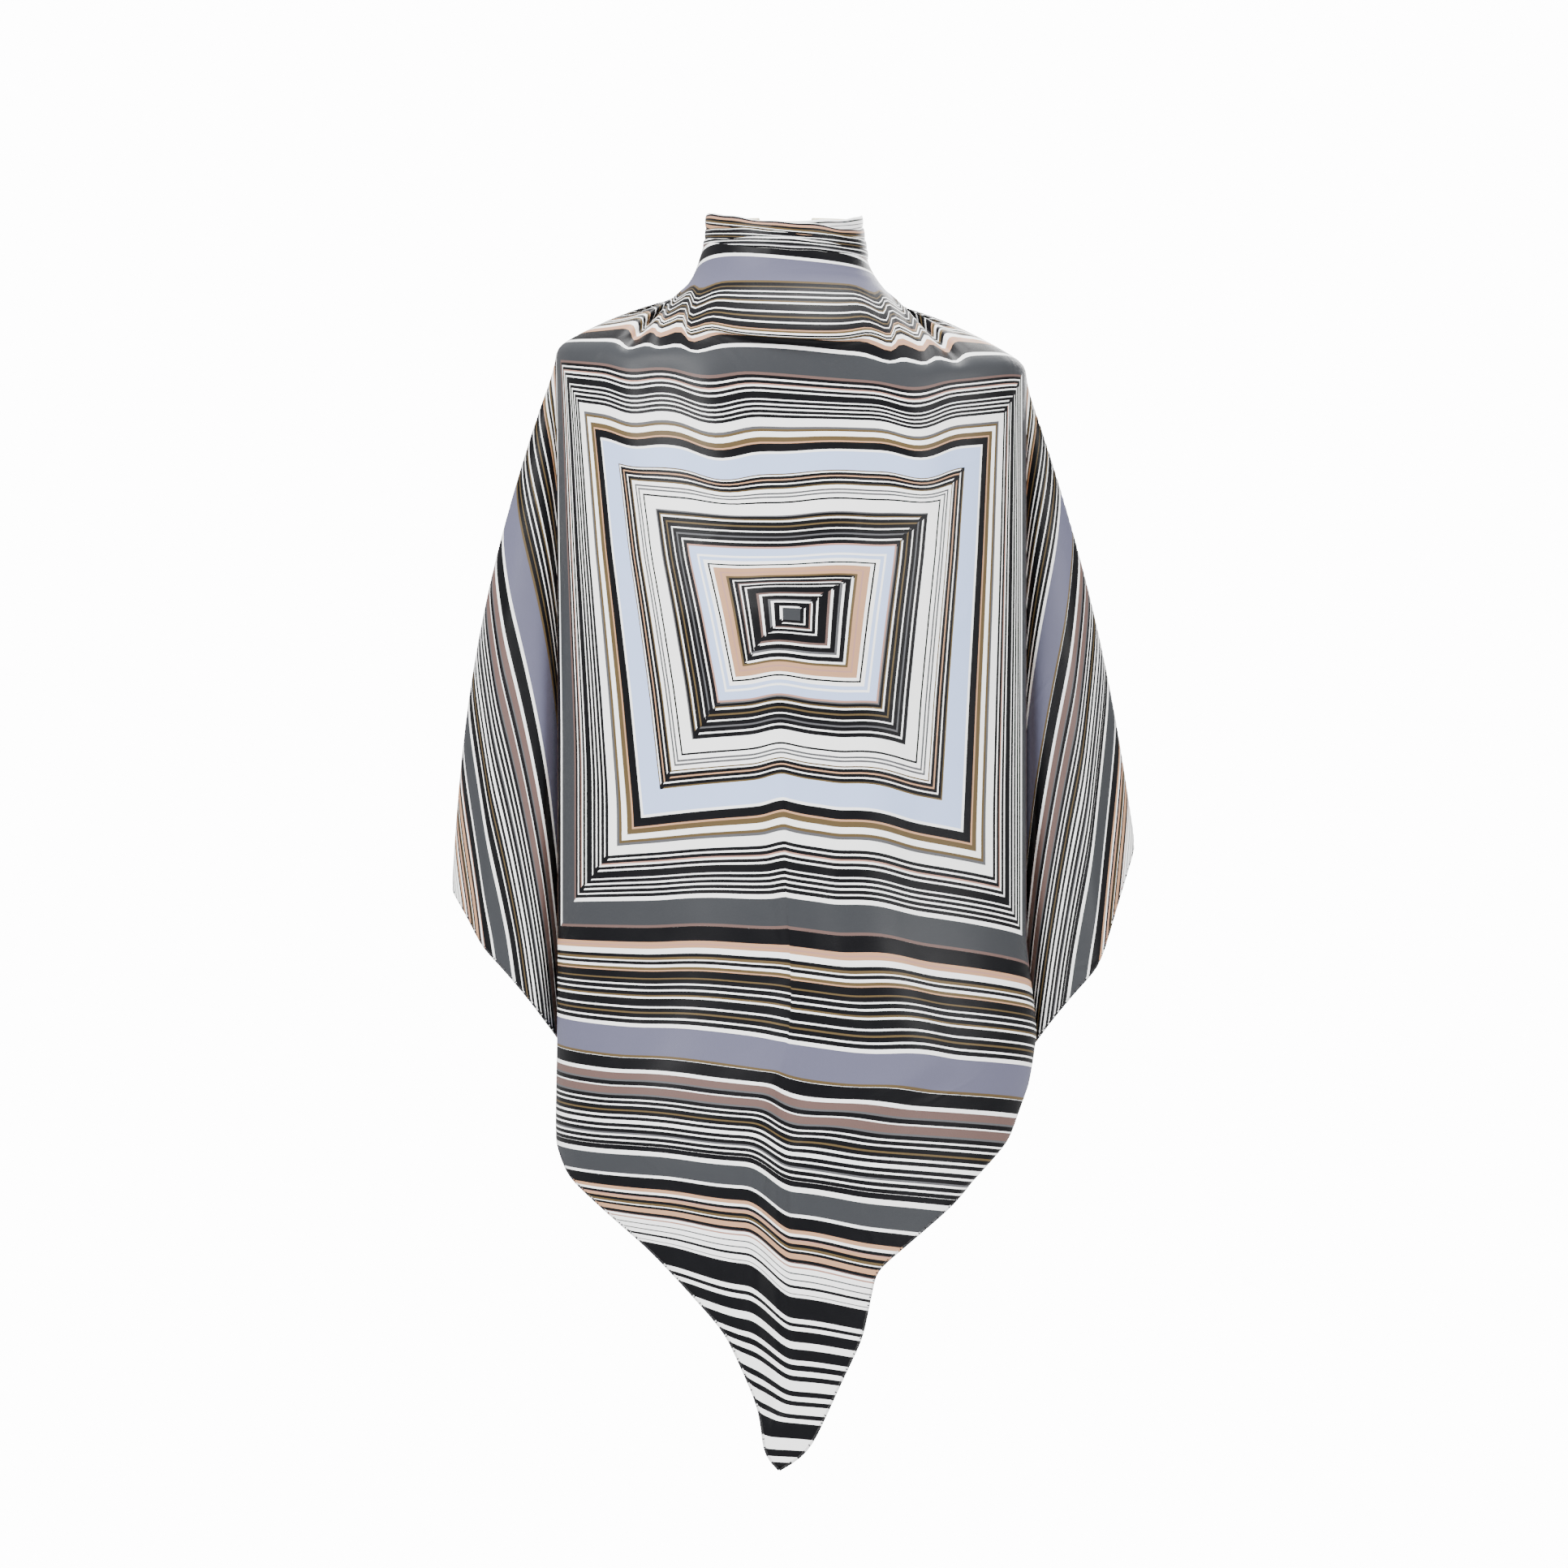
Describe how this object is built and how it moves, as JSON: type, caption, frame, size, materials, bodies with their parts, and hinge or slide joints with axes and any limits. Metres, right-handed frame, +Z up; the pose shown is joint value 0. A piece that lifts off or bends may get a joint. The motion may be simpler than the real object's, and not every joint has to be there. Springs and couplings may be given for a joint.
{
  "type": "barber cape",
  "caption": "Printed satin barber cape, a square worn point-down with a wound collar, side wings, a hanging front point and a press-stud nape closure.",
  "frame": {"origin": "centre of the neck opening, 34 mm above the foot of the neck band", "axes": "+Z up along the neck, -Y to the front of the cape, +X to the wearer's left, seen on the right from the front"},
  "size_m": [0.5297, 0.2342, 0.9286],
  "materials": {
    "printed_satin": "soft satin, striped print",
    "collar_lining": "plain satin lining",
    "hem_thread": "rolled hem, overlocked",
    "label_ribbon": "blank woven ribbon",
    "snap_metal": "nickel plated",
    "cap_enamel": "black enamel"
  },
  "bodies": {
    "root": {"neck_band": "collar_lining", "upper_tuck": "printed_satin", "lower_tuck": "printed_satin", "cowl_fold": "printed_satin", "nape_underlap": "collar_lining", "yoke_front": "printed_satin", "yoke_back_left": "printed_satin", "yoke_back_right": "printed_satin", "yoke_hem_left": "hem_thread", "yoke_hem_right": "hem_thread", "front_panel": "printed_satin", "panel_hem_left": "hem_thread", "panel_hem_right": "hem_thread", "left_pleat": "printed_satin", "right_pleat": "printed_satin", "care_label": "label_ribbon", "snap_studs": "snap_metal", "snap_stud_backs": "snap_metal"},
    "point": {"lower_point": "printed_satin", "point_hem_left": "hem_thread", "point_hem_right": "hem_thread"},
    "left_wing": {"left_wing_front": "printed_satin", "left_wing_back": "printed_satin", "left_wing_hem": "hem_thread", "left_back_hem": "hem_thread"},
    "right_wing": {"right_wing_front": "printed_satin", "right_wing_back": "printed_satin", "right_wing_hem": "hem_thread", "right_back_hem": "hem_thread"},
    "closure_tab": {"nape_tab": "printed_satin", "tab_hem": "hem_thread", "snap_caps": "cap_enamel", "snap_sockets": "snap_metal"}
  },
  "joints": [
    {"name": "point_lift", "type": "hinge", "parent": "root", "child": "point", "pos_m": [0, -0.102, -0.7204], "axis": [-1, 0, 0], "range_deg": [0, 50]},
    {"name": "left_wing_open", "type": "hinge", "parent": "root", "child": "left_wing", "pos_m": [-0.169, 0, -0.2], "axis": [0, 0, 1], "range_deg": [0, 35]},
    {"name": "right_wing_open", "type": "hinge", "parent": "root", "child": "right_wing", "pos_m": [0.177, 0, -0.2], "axis": [0, 0, -1], "range_deg": [0, 35]},
    {"name": "tab_open", "type": "hinge", "parent": "root", "child": "closure_tab", "pos_m": [0.0421, 0.0406, -0.012], "axis": [0, 0, -1], "range_deg": [0, 100]}
  ]
}
